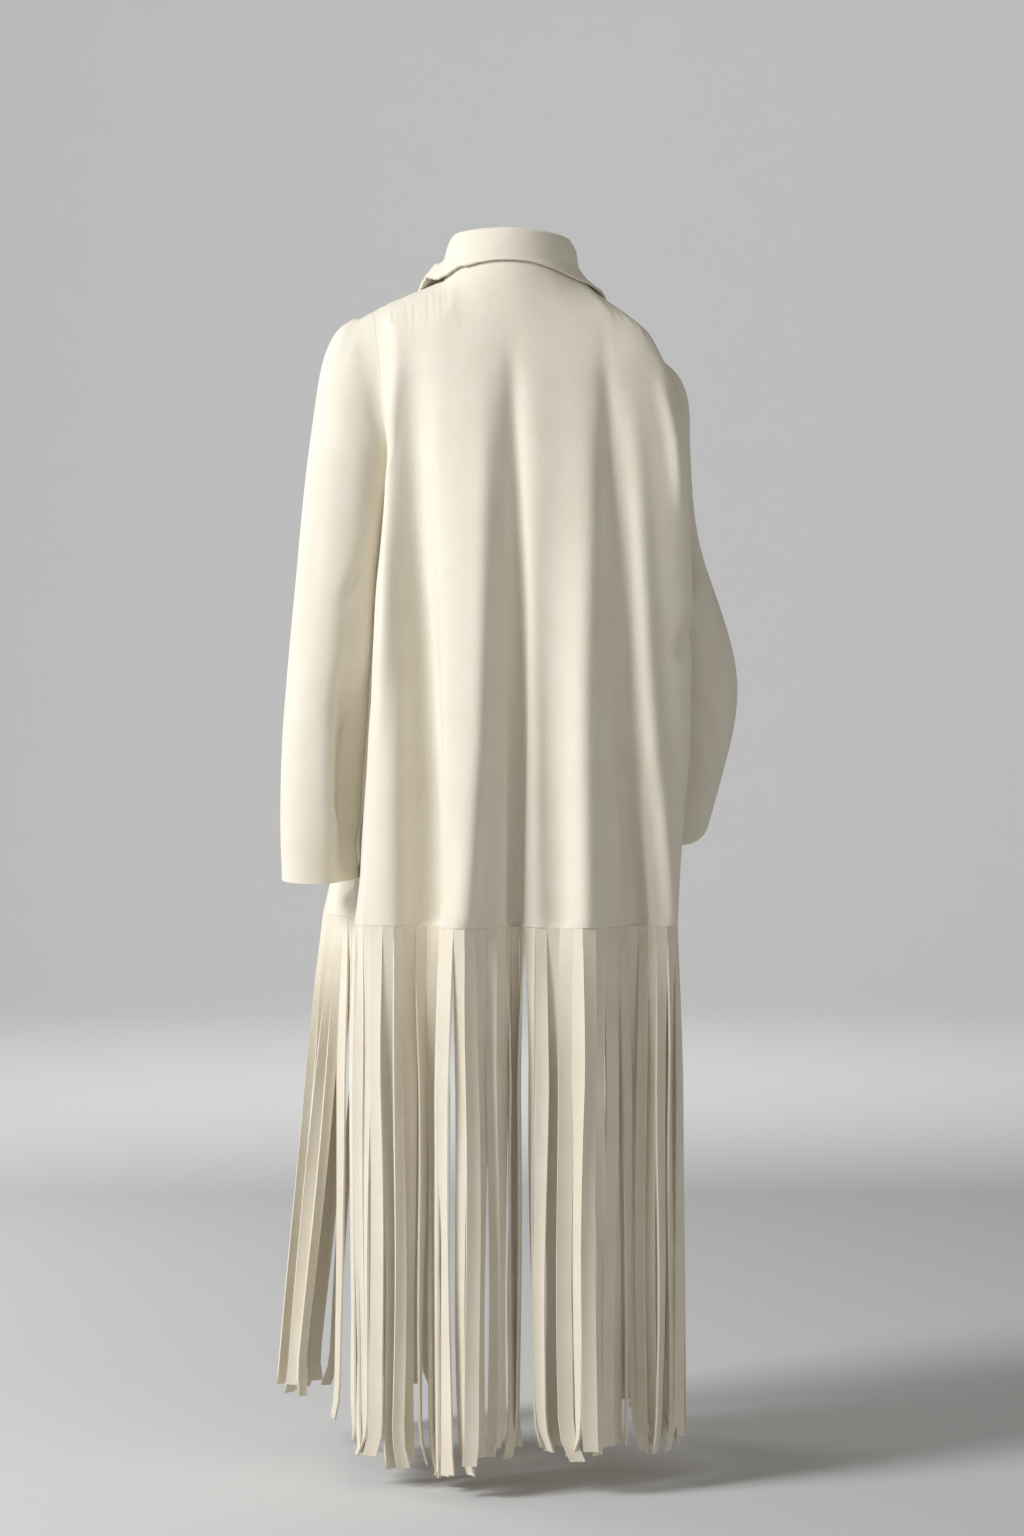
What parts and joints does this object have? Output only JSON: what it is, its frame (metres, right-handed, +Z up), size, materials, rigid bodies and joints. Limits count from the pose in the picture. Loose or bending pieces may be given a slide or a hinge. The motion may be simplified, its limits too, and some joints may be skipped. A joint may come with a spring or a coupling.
{
  "type": "fringe coat",
  "caption": "Long open coat of thick ivory cloth with a turn-down collar, full sleeves and a deep fringe of cut strips below the hem, hollow as worn.",
  "frame": {"origin": "the middle between the shoulders at the height of the neck seam, where the wearer carries the coat", "axes": "+Z up along the wearer's body, -Y to the front of the coat, +X to the wearer's left"},
  "size_m": [0.6125, 0.4802, 1.6076],
  "materials": {
    "coat_cloth": "brushed double-faced wool, ivory, soft nap, matte",
    "fringe_cloth": "raw-cut strips of the same brushed wool, ivory, matte"
  },
  "bodies": {
    "root": {"back": "coat_cloth", "front_left": "coat_cloth", "front_right": "coat_cloth", "sleeve_left": "coat_cloth", "sleeve_right": "coat_cloth", "collar": "coat_cloth", "fringe_back": "fringe_cloth", "fringe_front_left": "fringe_cloth", "fringe_front_right": "fringe_cloth"}
  },
  "joints": []
}
